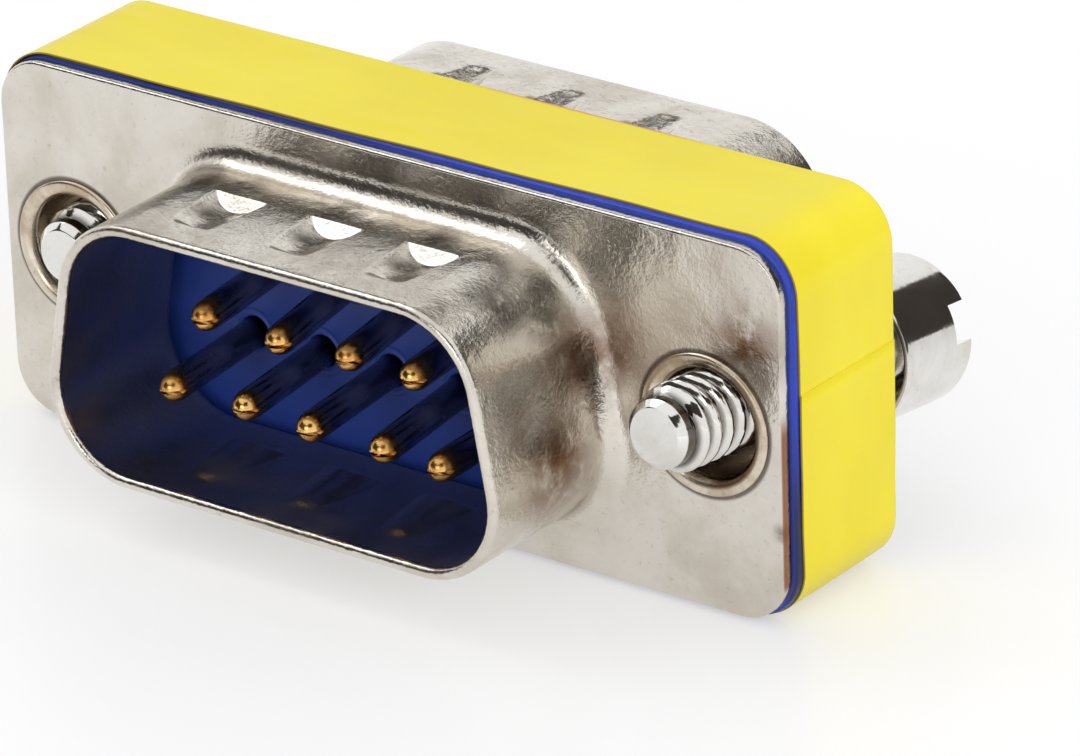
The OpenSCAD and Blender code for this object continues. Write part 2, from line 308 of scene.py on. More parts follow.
# %% Node helper
class Nodes:
    """Adds nodes to one tree. A value given for a socket is set; a socket is linked."""

    def __init__(self, tree):
        self.tree = tree

    def new(self, kind, at=None, **sets):
        node = self.tree.nodes.new(kind)
        for key, value in sets.items():
            setattr(node, key, value)
        for key, value in (at or {}).items():
            if isinstance(value, bpy.types.NodeSocket):
                self.tree.links.new(value, node.inputs[key])
            else:
                node.inputs[key].default_value = value
        return node

    def math(self, operation, a, b=0.0):
        return self.new("ShaderNodeMath", {0: a, 1: b}, operation=operation).outputs[0]

    def times(self, product, *others):
        """The product of any number of values."""
        for other in others:
            product = self.math("MULTIPLY", product, other)
        return product

    def remap(self, value, low, high, to_low=0.0, to_high=1.0):
        """A soft step from to_low to to_high as the value goes from low to high."""
        return self.new("ShaderNodeMapRange",
                        {"Value": value, "From Min": low, "From Max": high,
                         "To Min": to_low, "To Max": to_high},
                        interpolation_type="SMOOTHSTEP").outputs[0]

    def span(self, length, low, high):
        """A soft step from 0 to 1 as a length goes from low to high millimetres."""
        return self.remap(length, low * MM, high * MM)

    def worn(self, skin, shiny, dull):
        """Roughness of a plated skin, duller on its patches."""
        return self.remap(skin["Patches"], 0.0, 1.0, shiny, dull)

    def noise(self, place, scale, detail, rough, distort=0.0):
        return self.new("ShaderNodeTexNoise",
                        {"Vector": place, "Scale": scale, "Detail": detail,
                         "Roughness": rough, "Distortion": distort}).outputs["Fac"]

    def mix(self, fac, a, b):
        """Colour a where fac is 0, colour b where it is 1."""
        return self.new("ShaderNodeMix", {0: fac, 6: a, 7: b}, data_type="RGBA").outputs[2]

    def stain(self, tone, mask, amount, over):
        """The tone with another colour laid over it by the mask, up to the amount."""
        return self.mix(self.times(mask, amount), tone, over)

    def stretched(self, place, scale):
        return self.new("ShaderNodeMapping", {"Vector": place, "Scale": scale}).outputs[0]

    def xyz(self, place):
        return tuple(self.new("ShaderNodeSeparateXYZ", {0: place}).outputs)

    def attribute(self, name):
        return self.new("ShaderNodeAttribute", attribute_name=name).outputs["Fac"]

    def off_axis(self, across, high):
        """Distance from a screw's axis, from the offsets across and up."""
        squares = (self.math("POWER", across, 2.0), self.math("POWER", high, 2.0))
        return self.math("SQRT", self.math("ADD", *squares))


# %% Materials and groups by name
def colour(*rgb):
    """A colour from the 0 to 255 values of a picture, as the linear values that shaders use."""
    linear = [((c / 255 + 0.055) / 1.055) ** 2.4 if c > 10 else c / 255 / 12.92 for c in rgb]
    return (*linear, 1.0)


def new_material(name):
    """A material with one Principled BSDF; returns it, its node helper and object coordinates."""
    mat = bpy.data.materials.new(name)
    mat.use_nodes = True
    n = Nodes(mat.node_tree)
    return mat, n, n.new("ShaderNodeTexCoord").outputs["Object"]


def dress(mat, n, tone, rough, bump, metallic=0.0):
    """Joins tone, roughness and bump (height, strength, millimetres) to the shader."""
    height, strength, distance = bump
    normal = n.new("ShaderNodeBump", {"Strength": strength, "Distance": distance * MM,
                                      "Height": height}).outputs[0]
    bsdf = mat.node_tree.nodes["Principled BSDF"]
    for key, value in (("Base Color", tone), ("Roughness", rough), ("Normal", normal)):
        mat.node_tree.links.new(value, bsdf.inputs[key])
    bsdf.inputs["Metallic"].default_value = metallic
    print(mat.name, len(mat.node_tree.nodes), "nodes")
    return bsdf


def new_group(name, kind, inputs, outputs):
    """An empty node group with named sockets; returns it, its helper, its inputs and its end."""
    tree = bpy.data.node_groups.new(name, kind)
    for way, sockets in (("INPUT", inputs), ("OUTPUT", outputs)):
        for key, kind, *value in sockets:
            socket = tree.interface.new_socket(name=key, in_out=way,
                                               socket_type="NodeSocket" + kind)
            if value:
                socket.default_value = value[0]
    n = Nodes(tree)
    return tree, n, n.new("NodeGroupInput").outputs, n.new("NodeGroupOutput")


# %% [markdown]
# ## Effects that several finishes share
# Plated sheet metal isn't a clean mirror. It has a fine orange-peel grain from the bath, soft
# waves from drawing, and dull patches where fingers and flux left their mark. One group gives
# all three and is set up once; each metal uses its own amounts.

# %% Group: plated skin
skin_tree, n, given, end = new_group(
    "plated skin", "ShaderNodeTree",
    [("Place", "Vector"), ("Grain Scale", "Float", 9000.0), ("Patch Scale", "Float", 320.0),
     ("Grain", "Float", 0.5), ("Wave", "Float", 0.5)],
    [("Height", "Float"), ("Patches", "Float"), ("Speckle", "Float")])
grain = n.noise(given["Place"], given["Grain Scale"], 3.0, 0.6)
wave = n.noise(given["Place"], n.times(given["Patch Scale"], 2.2), 2.0, 0.5)
patches = n.noise(given["Place"], given["Patch Scale"], 5.0, 0.62, 0.4)
fine = n.noise(given["Place"], n.times(given["Grain Scale"], 0.55), 6.0, 0.75)
height = n.math("ADD", n.times(grain, given["Grain"]), n.times(wave, given["Wave"]))
for key, value in (("Height", height), ("Patches", n.remap(patches, 0.35, 0.7)),
                   ("Speckle", n.remap(fine, 0.56, 0.68))):
    skin_tree.links.new(value, end.inputs[key])
print(skin_tree.name, len(skin_tree.nodes), "nodes")


def skin(n, place, grain_scale, patch_scale, grain, wave):
    """The plated skin's outputs with one metal's amounts."""
    return n.new("ShaderNodeGroup",
                 {"Place": place, "Grain Scale": grain_scale, "Patch Scale": patch_scale,
                  "Grain": grain, "Wave": wave}, node_tree=skin_tree).outputs


def plated(name, amounts, pale, deep):
    """Starts a metal: returns its material, helper, coordinates, skin and patchy tone."""
    mat, n, place = new_material(name)
    s = skin(n, place, *amounts)
    return mat, n, place, s, n.mix(s["Patches"], colour(*pale), colour(*deep))


# %% [markdown]
# ## Nickel plating of the shells
# Nickel is warmer than chrome: a pale straw grey. The real shells are satin, with brown stains on
# the flank beside the right screw and at that hole. Painted shade darkens the bend above the
# plug, its upper right corner, the dimples and the plug's inside; a painted contact shadow rings
# each eyelet, and a painted reflection of the film browns the cut edge at the lower right. A
# painted texture could hold all that; soft masks round points in millimetres need no unwrapping
# and never slip.

# %% Where the tarnish and the painted shade lie
# Points and radii in millimetres: on the flank by the right screw and at its hole
BROWN_STAINS = [((8.9, -0.9, 1.6), 2.6), ((8.8, -2.6, -1.2), 2.8), ((14.1, 0.0, 2.9), 2.1),
                ((9.4, -4.2, 0.6), 1.8)]
# Painted shade at the plug's upper right corner, in the bend above it, at the right edge, in the
# dimples
PAINTED_SHADE_PATCHES = [((7.3, -3.2, 4.1), 1.6), ((8.2, -1.8, 3.4), 1.6),
                ((3.4, -1.3, 4.6), 1.2), ((-0.4, -1.3, 4.6), 1.1), ((-4.2, -1.3, 4.6), 1.0),
                ((9.2, -0.6, 3.4), 0.9), ((15.3, 0.2, -3.0), 0.5),
                ((-4.75, 9.3, 4.5), 0.34), ((-0.95, 9.3, 4.5), 0.34), ((2.85, 9.3, 4.5), 0.34),
                ((-4.2, -3.2, 4.2), 0.8), ((-0.4, -3.2, 4.2), 0.8), ((3.4, -3.2, 4.2), 0.8)]
print(len(BROWN_STAINS), "brown and", len(PAINTED_SHADE_PATCHES), "painted_shade stains")


def near(n, place, point, radius):
    """1 at the point in millimetres, falling to 0 at the radius."""
    away = n.new("ShaderNodeVectorMath", {0: place, 1: tuple(c * MM for c in point)},
                 operation="DISTANCE")
    return n.remap(away.outputs["Value"], 0.0, radius * MM, 1.0, 0.0)


# %% Material: nickel plating
nickel, n, place, s, tone = plated("nickel plating", (6000.0, 260.0, 0.5, 2.2),
                                   (224, 219, 210), (205, 197, 184))
mottle = n.noise(place, 1100.0, 5.0, 0.65)
inner = n.attribute("inner")
# The brown stains are the steel's own; the second list is painted shade
for points, low, high, over in ((BROWN_STAINS, 0.26, 0.58, colour(114, 76, 48)),
                                (PAINTED_SHADE_PATCHES, 0.28, 0.52, colour(70, 58, 46))):
    mask = 0.0
    for point, radius in points:
        mask = n.math("MAXIMUM", mask, near(n, place, point, radius))
    tone = n.stain(tone, n.times(mask, n.remap(mottle, low, high)), 0.95, over)
tone = n.stain(tone, s["Speckle"], 0.25, colour(96, 86, 74))
x, y, z = n.xyz(place)
from_screw = n.off_axis(n.math("SUBTRACT", n.math("ABSOLUTE", x), SCREW_X * MM), z)
# Painted contact shadow, mottled, in a ring just outside each eyelet's flare
eyelet_contact_shadow = n.times(n.span(from_screw, 2.56, 2.44), n.remap(mottle, 0.2, 0.4))
tone = n.stain(tone, eyelet_contact_shadow, 0.8, colour(66, 52, 42))
# Painted reflection of the yellow film: a brown stripe on the cut edge at the lower right
film_reflection_on_edge = n.times(n.span(x, 15.3, 15.38), n.span(z, 1.2, 0.2))
tone = n.stain(tone, film_reflection_on_edge, 0.9, colour(140, 84, 48))
# Painted shade: the inside of the plug is a darker grey
tone = n.mix(inner, tone, colour(178, 170, 164))
rough = n.math("ADD", n.worn(s, 0.15, 0.25), n.times(inner, 0.13))
dress(nickel, n, tone, rough, (s["Height"], 0.8, 0.05), metallic=1.0)

# %% [markdown]
# ## Bright plating of the screws and duller plating of the eyelets
# The screws are turned and bright-plated, so their reflections are nearly sharp, with fine lines
# round the axis and painted shade in the thread's root and the socket. Anisotropy could make the
# lines; a stretched noise in the bump shows them from near as well. The eyelets' funnel is painted
# brown on its right side, as shade.

# %% Materials: bright plating and eyelet plating
bright, n, place, s, tone = plated("bright plating", (5200.0, 420.0, 0.25, 0.5),
                                   (232, 230, 226), (214, 210, 203))
lines = n.noise(n.stretched(place, (260.0, 7000.0, 260.0)), 1.0, 3.0, 0.6)
height = n.math("ADD", n.times(s["Height"], 0.5), n.times(lines, 0.4))
tone = n.stain(tone, s["Speckle"], 0.15, colour(120, 112, 104))
# Painted shade in the thread's root and on the socket's wall
tone = n.stain(tone, n.remap(n.attribute("groove"), 0.35, 1.0), 0.85, colour(58, 46, 38))
dress(bright, n, tone, n.worn(s, 0.07, 0.15), (height, 0.5, 0.02), metallic=1.0)

eyelet_plate, n, place, s, tone = plated("eyelet plating", (6000.0, 600.0, 0.4, 0.6),
                                         (222, 212, 196), (186, 166, 140))
tone = n.stain(tone, s["Speckle"], 0.35, colour(92, 72, 56))
x, y, z = n.xyz(place)
aside = n.math("SUBTRACT", x, SCREW_X * MM)
# Painted shade: brown on the right side of the funnel
funnel = n.times(n.span(n.off_axis(aside, z), 2.14, 1.98), n.span(aside, -0.6, 0.8))
tone = n.stain(tone, funnel, 0.85, colour(110, 78, 54))
dress(eyelet_plate, n, tone, n.worn(s, 0.2, 0.36), (s["Height"], 0.3, 0.03), metallic=1.0)

# %% [markdown]
# ## Gold on the contacts
# A thin gold flash over nickel: deep orange where it curves away, pale where it is worn at the
# tip. The shafts are duller nickel, painted bluish grey as a reflection of the blue hollow. A
# second material could do the shafts; a soft step by depth leaves no hard line.

# %% Material: gold flash
gold, n, place, s, tone = plated("gold flash", (6000.0, 900.0, 0.4, 0.5),
                                 (240, 196, 122), (214, 152, 82))
tone = n.stain(tone, s["Speckle"], 0.3, colour(128, 78, 40))
x, y, z = n.xyz(place)
from_middle = n.math("ABSOLUTE", n.math("SUBTRACT", y, MID_Y * MM))
# The shafts: nickel grey with a painted reflection of the blue hollow
tone = n.stain(tone, n.span(from_middle, 6.9, 6.3), 0.85, colour(122, 126, 140))
dress(gold, n, tone, n.worn(s, 0.16, 0.28), (s["Height"], 0.25, 0.02), metallic=1.0)

# %% [markdown]
# ## Blue moulded plastic
# Faintly cloudy plastic with a satin skin and tiny pits from the mould. The strip that shows
# round the flange is bright at the upper right and nearly navy at the left and the lower right.
# Light could do that, but no lamp reaches so narrow a gap, so it is a darker tone.

# %% Material: blue plastic
blue, n, place = new_material("blue plastic")
face = MID_Y - SHEET
cloud = n.noise(place, 700.0, 5.0, 0.6)
pits = n.noise(place, 9000.0, 2.0, 0.5)
tone = n.mix(n.remap(cloud, 0.3, 0.7), colour(26, 48, 158), colour(34, 60, 178))
tone = n.stain(tone, n.remap(pits, 0.62, 0.75), 0.4, colour(70, 96, 190))
x, y, z = n.xyz(place)
from_middle = n.math("ABSOLUTE", n.math("SUBTRACT", y, MID_Y * MM))
# The face inside the plug is painted a greyer blue, as shade in the hollow
tone = n.mix(n.span(from_middle, face - 0.12, face - 0.05), tone, colour(46, 72, 158))
lower_right = n.times(n.span(x, 15.0, 15.3), n.span(z, 1.0, -3.0))
shade = n.math("MAXIMUM", n.span(x, 4.0, -4.0), lower_right)
rim_only = n.span(from_middle, face - 0.05, face - 0.12)
tone = n.stain(tone, n.times(shade, rim_only), 0.93, colour(16, 18, 48))
height = n.math("ADD", pits, n.times(cloud, 1.5))
dress(blue, n, tone, n.remap(cloud, 0.3, 0.7, 0.32, 0.44), (height, 0.3, 0.03))

# %% [markdown]
# ## Yellow label film
# Printed film with a satin varnish: an even warm yellow with shallow waves where it was pulled
# tight and a few scuffs. A thin orange line at the rear edge is a painted shadow, as if that edge
# stood up a little, and the front edge is darkened with painted shade. That shade could be a
# second material; an attribute on the edge's points is simpler.

# %% Material: yellow film
film, n, place = new_material("yellow film")
wave = n.noise(n.stretched(place, (110.0, 260.0, 110.0)), 1.0, 3.0, 0.5)
tooth = n.noise(place, 8000.0, 3.0, 0.6)
scuff = n.noise(n.stretched(place, (240.0, 2400.0, 900.0)), 1.0, 5.0, 0.7, 0.5)
tone = n.mix(n.remap(wave, 0.3, 0.7), colour(246, 229, 52), colour(240, 221, 42))
tone = n.stain(tone, n.remap(scuff, 0.62, 0.76), 0.2, colour(250, 240, 120))
x, y, z = n.xyz(place)
# Painted shadow: a thin orange line along the film's rear edge on top
rear_edge_painted_shadow = n.times(n.span(x, -2.0, 2.0), n.span(x, 10.0, 6.0), n.span(y, 5.68, 5.8),
               n.span(z, 6.0, 6.2))
tone = n.stain(tone, rear_edge_painted_shadow, 0.9, colour(214, 132, 34))
# Painted shade along the film's front edge
tone = n.stain(tone, n.attribute("edge"), 0.85, colour(112, 84, 18))
height = n.math("ADD", n.times(wave, 2.0), n.times(tooth, 0.3))
bsdf = dress(film, n, tone, n.remap(scuff, 0.4, 0.75, 0.34, 0.5), (height, 0.25, 0.05))
bsdf.inputs["Specular IOR Level"].default_value = 0.35

# %% [markdown]
# ## The shells
# Each shell is drawn from one sheet: a flange plate whose metal turns up in a curved root, runs
# up the plug wall and ends in a rounded rim. Booleans or a bump could make the dimples, but they
# are pressed, so both faces of the metal show them. The wall is therefore one closed section
# carried round the plug outline, with rows dense enough for the dimples, and the flat plate is
# filled in between. The rear plug's dimples run out to almost nothing at the rim.


# %% Dimple shape
def ease(t):
    t = min(1.0, max(0.0, t))
    return t * t * (3 - 2 * t)


def soft_min(a, b, blend):
    """The smaller value, rounded over where the two meet."""
    return 0.5 * (a + b - math.sqrt((a - b) ** 2 + blend))


def dimple(x, h, more, shallow):
    """Depth at x, h of a leaning round punch with two steep ends and soft edges.

    more is the metal's thickness where the punch shows on the inner face, 0 on the outer one;
    shallow is the depth left at the rim end.
    """
    r = (DIMPLE_DEPTH ** 2 + DIMPLE_W ** 2 / 4) / (2 * DIMPLE_DEPTH) + more
    slope = (DIMPLE_DEPTH - shallow) / (DIMPLE_END - DIMPLE_START)
    sunk = shallow + slope * (DIMPLE_END - h) + more
    off_centre = min(abs(x - k * DIMPLE_PITCH) for k in (-1, 0, 1))
    if off_centre > 0.98 * r:
        return 0.0
    deep = sunk - (r - math.sqrt(r * r - off_centre ** 2)) - (SHEET if more else 0.0)
    end_wall = (h - DIMPLE_START + more) * DIMPLE_DEPTH / DIMPLE_RUN
    deep = soft_min(deep, end_wall, 0.0008)
    soft_edge = -soft_min(-deep, 0.0, 0.0003) - 0.001
    return max(0.0, soft_edge) * ease((DIMPLE_END + 0.04 - h) / 0.4)


print("dimple is", round(dimple(0.0, DIMPLE_START + DIMPLE_RUN, 0.0, DIMPLE_SHALLOW), 3), "mm deep")


# %% Section of the sheet
def wall_heights(tall):
    """Heights of the outer wall's rows, close together at the dimples' two ends."""
    return np.concatenate([
        np.linspace(ROOT_R, DIMPLE_START - 0.16, 8)[1:],
        np.linspace(DIMPLE_START - 0.1, DIMPLE_START + 0.56, 24),
        np.linspace(DIMPLE_START + 0.62, DIMPLE_END - 0.22, 30),
        np.linspace(DIMPLE_END - 0.18, DIMPLE_END + 0.04, 8),
        np.linspace(DIMPLE_END + 0.1, tall, 8)[:-1]])


def shell_section():
    """Points (n, h, face) round the sheet: outside from the plate up, the rim, inside down."""
    tall = SHELL_LEN - SHEET / 2
    outside = section_arc(ROOT_N, ROOT_R, ROOT_R, -90, -180, 13)
    outside += [(SHEET, h) for h in wall_heights(tall)]
    rim = section_arc(SHEET / 2, tall, SHEET / 2, 0, 180, 15)
    lining = [(0.0, h) for h in np.linspace(tall, ROOT_R, 46)[1:-1]]
    lining += section_arc(ROOT_N, ROOT_R, ROOT_N, -180, -90, 13)
    return [(n, h, face) for face, points in (("out", outside), ("rim", rim), ("in", lining))
            for n, h in points]


# %% Make the two shells
PLATE_EDGE = [(0.09, 0.0), (0.045, 0.012), (0.012, 0.045), (0.0, 0.09), (0.0, SHEET - 0.05),
              (0.05, SHEET)]


def make_shell(name, place, shallow):
    """The whole sheet as one closed mesh; shallow is the dimples' depth at the rim end."""
    m = Mesh()
    inner = m.mark["inner"] = {}
    pts, nor = dee(168)
    rows = []
    for d, h, face in shell_section():
        pressed = face == "out" or (face == "in" and h > ROOT_R)
        more = DIMPLE_WALL if face == "in" else 0.0
        row = []
        for p, q in zip(pts, nor):
            on_wall = pressed and abs(q[1]) > 0.999
            off = d - dimple(p[0], h, more, shallow) if on_wall else d
            row.append((p[0] + q[0] * off, -h, p[1] + q[1] * off))
        rows.append(m.add(row))
        inner.update((i, 1.0 if face == "in" else 0.0) for i in rows[-1])
    m.grid(rows)
    pts, nor = plate(FLANGE_W, FLANGE_H, FLANGE_R)
    edge = [m.add(set_out(pts, nor, -i, y)) for i, y in PLATE_EDGE]
    m.grid(edge)
    bores = [m.tube(sx * SCREW_X, 0, [(HOLE_R, 0.0), (HOLE_R, SHEET)]) for sx in (-1, 1)]
    m.fill(edge[0], [rows[0]] + [b[0] for b in bores])
    m.fill(edge[-1], [rows[-1]] + [b[-1] for b in bores], flip=True)
    return m.make(name, nickel, place)


front_shell = make_shell("front_shell_drawn", FRONT, DIMPLE_SHALLOW)
rear_shell = make_shell("rear_shell_drawn", REAR, DIMPLE_SHALLOW / 4)

# %% [markdown]
# ## The insulators
# A moulded block behind each flange: a round-cornered slab with a ring round each pin hole. A
# bevelled cube could stand for it, but its face inside the plug and a thin line round the flange
# show, so those get the detail: the edge steps back right behind the flange, which gives the
# dark line between steel and plastic in the photo.


# %% Make the two insulators
def pin_places():
    """(x, z) of the nine pins on the front face, contacts 1 to 9."""
    five = [((3 - k) * PIN_PITCH, -ROW_GAP / 2) for k in range(1, 6)]
    return five + [((7.5 - k) * PIN_PITCH, ROW_GAP / 2) for k in range(6, 10)]


PIN_HOLE_R = PIN_D / 2 + 0.02
# How far the block's edge lies inside its outline at each depth, and the moulded pin hole
BLOCK_EDGE = [(0.34, SHEET), (0.3, SHEET + 0.05), (0.1, SHEET + 0.08), (0.025, SHEET + 0.12),
              (0.0, SHEET + 0.2), (0.0, MID_Y)]
PIN_HOLE = [(PIN_HOLE_R + 0.34, SHEET), (PIN_HOLE_R + 0.3, SHEET + 0.045),
            (PIN_HOLE_R + 0.13, SHEET + 0.045), (PIN_HOLE_R + 0.1, SHEET + 0.01),
            (PIN_HOLE_R + 0.05, SHEET + 0.02), (PIN_HOLE_R, SHEET + 0.08), (PIN_HOLE_R, MID_Y)]


def make_insulator(name, place):
    m = Mesh()
    pts, nor = plate(BLOCK_W, BLOCK_H, BLOCK_R)
    edge = [m.add(set_out(pts, nor, -i, y)) for i, y in BLOCK_EDGE]
    m.grid(edge)
    holes = [m.tube(sx * SCREW_X, 0, [(HOLE_R, SHEET), (HOLE_R, MID_Y)]) for sx in (-1, 1)]
    holes += [m.tube(x, z, PIN_HOLE, 32) for x, z in pin_places()]
    m.fill(edge[0], [h[0] for h in holes])
    m.fill(edge[-1], [h[-1] for h in holes], flip=True)
    return m.make(name, blue, place)


front_insulator = make_insulator("front_insulator_moulded", FRONT)
rear_insulator = make_insulator("rear_insulator_moulded", REAR)

# %% [markdown]
# ## The contacts
# Nine pins show in each plug. Each is rolled from strip, so its tip is a split dome with slightly
# rounded lips. It could be copied nine times by hand; Geometry Nodes set a copy on every point of
# the pattern, because that is what repeats, and each point carries its own lean, because the
# front tips stray in the photo.


# %% One pin as a mesh, tip to -Y
def make_pin():
    """A pin pivoting on the plastic's face, with a slit across the dome at its tip."""
    m = Mesh()
    r, tip, steps, taper = PIN_D / 2, -PIN_REACH - SHEET, 40, 0.12
    dome = 1.25 * r
    profile = [(r, 0.6), (r, tip + dome)]
    profile += [(r * math.cos(t), tip + dome * (1 - math.sin(t)))
                for t in np.radians(np.linspace(0, 90, 12)[1:])]
    turns = [math.pi * j / steps for j in range(steps + 1)]
    for sign in (-1, 1):
        rows = []
        for rad, y in profile:
            gap = SLIT_W / 2 * min(1.0, max(0.0, (tip + SLIT_DEPTH - y) / taper))
            rows.append(m.add([(rad * math.cos(t), y, sign * max(rad * math.sin(t), gap))
                               for t in turns]))
        m.grid(rows, wrap_cols=False)
        # The flat wall of the slit closes this half
        for a, b in zip(rows, rows[1:]):
            m.f.append((a[0], a[-1], b[-1], b[0]))
        m.f.append(tuple(rows[0]))
    return m


# %% Geometry Nodes: set pins on points
def end_tree(g, geometry, finish, end):
    """Ends a tree with real geometry in its finish."""
    real = g.new("GeometryNodeRealizeInstances", {"Geometry": geometry})
    done = g.new("GeometryNodeSetMaterial", {"Geometry": real.outputs[0], "Material": finish})
    g.tree.links.new(done.outputs[0], end.inputs["Geometry"])


def add_tree(obj, tree, values):
    """Puts the tree on the object and sets its named inputs by their identifiers."""
    mod = obj.modifiers.new(tree.name, "NODES")
    mod.node_group = tree
    ids = {item.name: item.identifier for item in tree.interface.items_tree
           if item.in_out == "INPUT"}
    for key, value in values.items():
        mod[ids[key]] = value


set_pins, g, given, end = new_group(
    "set pins on points", "GeometryNodeTree",
    [("Geometry", "Geometry"), ("Pin", "Object"), ("Finish", "Material")],
    [("Geometry", "Geometry")])
source = g.new("GeometryNodeObjectInfo", {"Object": given["Pin"]})
lean = g.new("GeometryNodeInputNamedAttribute", {"Name": "lean"}, data_type="FLOAT_VECTOR")
put = g.new("GeometryNodeInstanceOnPoints",
            {"Points": given["Geometry"], "Instance": source.outputs["Geometry"],
             "Rotation": lean.outputs["Attribute"]})
end_tree(g, put.outputs[0], given["Finish"], end)
print(set_pins.name, len(set_pins.nodes), "nodes")

# %% The two rows of pins
# How far each front tip strays from straight, in millimetres across and up, contacts 1 to 9
TIP_STRAY = [(-0.34, -0.36), (0.19, -0.3), (0.07, -0.3), (0.28, -0.2), (0.11, -0.26),
             (0.11, -0.33), (0.36, -0.3), (0.34, -0.42), (0.19, -0.3)]
STRAIGHT = [(0.0, 0.0)] * 9
pin = make_pin().make("pin_pattern", gold)


def make_pins(name, depth, turn, flip, strays):
    """Nine pins on the plastic's face at the depth, each turned by its own stray."""
    mesh = bpy.data.meshes.new(name)
    mesh.from_pydata([Vector((x, depth, flip * z)) * MM for x, z in pin_places()], [], [])
    layer = mesh.attributes.new("lean", "FLOAT_VECTOR", "POINT")
    for spot, (dx, dz) in zip(layer.data, strays):
        spot.vector = (turn - math.asin(dz / PIN_REACH), 0.0, math.asin(dx / PIN_REACH))
    obj = add_object(name, mesh)
    add_tree(obj, set_pins, {"Pin": pin, "Finish": gold})
    apply_modifiers(obj)
    print(name, len(obj.data.polygons), "faces")
    return obj


front_pins = make_pins("pins_front", SHEET, 0.0, 1, TIP_STRAY)
rear_pins = make_pins("pins_rear", BODY_T - SHEET, math.pi, -1, STRAIGHT)
bpy.data.objects.remove(pin)

# %% [markdown]
# ## The label
# The film is one strip wrapped round both insulators. It starts on the right side, goes down and
# round, and ends under its own first edge, so there is a small step: the seam. The step is
# thinner than the film, as it looks in the photo, and fades out further down. The front edge
# runs a little askew, and the rear edge stops short of the rear flange and leaves a thin shadow.
# Solidify on a band could make the film, but not the lap, so its section follows its own path.


# %% Path and front edge of the film
LAP_FULL, LAP_FADE = 3.0, 1.6
TUCKS = (0.4, 0.8, 1.2)


def label_path():
    """Points and normals once round from the seam, clockwise, then on under the first edge."""
    side_x = BLOCK_W / 2
    pts, nor = plate(BLOCK_W, BLOCK_H, BLOCK_R, 14, 24)
    right = [i for i in range(len(pts)) if nor[i][0] > 0.9999]
    start = min(right, key=lambda i: abs(pts[i][1] - SEAM_Z))
    order = [(start - k) % len(pts) for k in range(len(pts) + 1)]
    path = [(pts[i], nor[i]) for i in order]
    path[0] = path[-1] = (np.array([side_x, SEAM_Z]), nor[start])
    return path + [(np.array([side_x, SEAM_Z - d]), nor[start]) for d in TUCKS]


def front_edge(p, q):
    """Depth of the front edge: a little askew, close to the flange at the upper left."""
    along = ease((p[0] + 13.0) / 24.0)
    wave = 0.03 * math.sin(0.9 * p[0]) + 0.04 * math.sin(0.8 * p[1]) * abs(q[0])
    low = 0.1 * ease((SEAM_Z - p[1]) / 4.0) * max(0.0, q[0])
    return LABEL_FRONT - 0.2 + 0.24 * along + wave - 0.06 * abs(q[0]) + low


# %% Make the label
def make_label():
    m = Mesh()
    edge = m.mark["edge"] = {}
    path = label_path()
    span = np.cumsum([0] + [math.dist(a[0], b[0]) for a, b in zip(path, path[1:])])
    y1 = BODY_T - LABEL_BACK
    loops = []
    for k, (p, q) in enumerate(path):
        tucked = k >= len(path) - len(TUCKS)
        lap = LAP * min(1.0, max(0.0, 1 - (span[k] - LAP_FULL) / LAP_FADE))
        y0 = front_edge(p, q) + (0.12 if tucked else 0.0)
        across = [y0, y0 + 0.025, y0 + 0.06, *np.linspace(y0 + 0.12, y1 - 0.1, 22), y1 - 0.02, y1]
        outer, under = [], []
        for y in across:
            f = (y - y0) / (y1 - y0)
            rest = 0.012 * math.sin(1.7 * span[k] + 2.0 * f) * (1 - abs(2 * f - 1) ** 4)
            soft = 0.02 if y in (y0, y1) else 0.0
            n_in, n_out = lap + 0.001, LABEL_T - soft - 0.014 + rest + lap - LAP
            if tucked:
                n_in, n_out = 0.001, 0.012
            outer.append((p[0] + q[0] * n_out, y, p[1] + q[1] * n_out))
            under.append((p[0] + q[0] * n_in, y, p[1] + q[1] * n_in))
        loops.append(m.add(outer + under[::-1]))
        edge.update({i: 0.0 for i in loops[-1]})
        # The front edge's points carry the mark for painted shade
        edge.update({i: 1.0 for i in loops[-1][:2] + loops[-1][-2:]})
    m.grid(loops)
    m.f += [tuple(loops[0]), tuple(loops[-1])]
    return m.make("wrap_label_film", film)


label = make_label()

# %% [markdown]
# ## Eyelets
# A tube with both ends rolled outwards over the flanges. A torus on a cylinder would show a
# crease, so the whole section is turned about the screw axis in one piece.


# %% Make the two eyelets
def make_eyelet(name, x):
    m = Mesh()
    out, turn_y = EYELET_IN + EYELET_WALL, FLARE_RISE - FLARE_R
    mouth = section_arc(FLARE_D / 2 - FLARE_RISE, 0, FLARE_RISE, 0, 90, 10)
    mouth += section_arc(EYELET_IN + FLARE_R, turn_y, FLARE_R, 90, 180, 16)
    section = [(out, 0.0)] + [(r, -y) for r, y in mouth]
    section += [(EYELET_IN, y) for y in np.linspace(-turn_y, BODY_T + turn_y, 8)[1:-1]]
    section += [(r, BODY_T + y) for r, y in reversed(mouth)] + [(out, BODY_T)]
    m.tube(0, 0, section, 96, closed=True)
    return m.make(name, eyelet_plate, Matrix.Translation((x, 0, 0)))


left_eyelet = make_eyelet("left_eyelet_rolled", -SCREW_X)
right_eyelet = make_eyelet("right_eyelet_rolled", SCREW_X)

# %% [markdown]
# ## Jackscrews
# A turned screw: a stud with a rolled thread and a bevelled tip turned down to the thread's
# root, and a round head with a threaded socket and a screwdriver slot. The thread could be a
# texture, but it shows against the dark hole. It is a rule, so Geometry Nodes make it: each
# ring of a fine tube is moved in by a triangle wave of height and angle. The slot is an exact
# boolean, because a bar across a bore is just that.

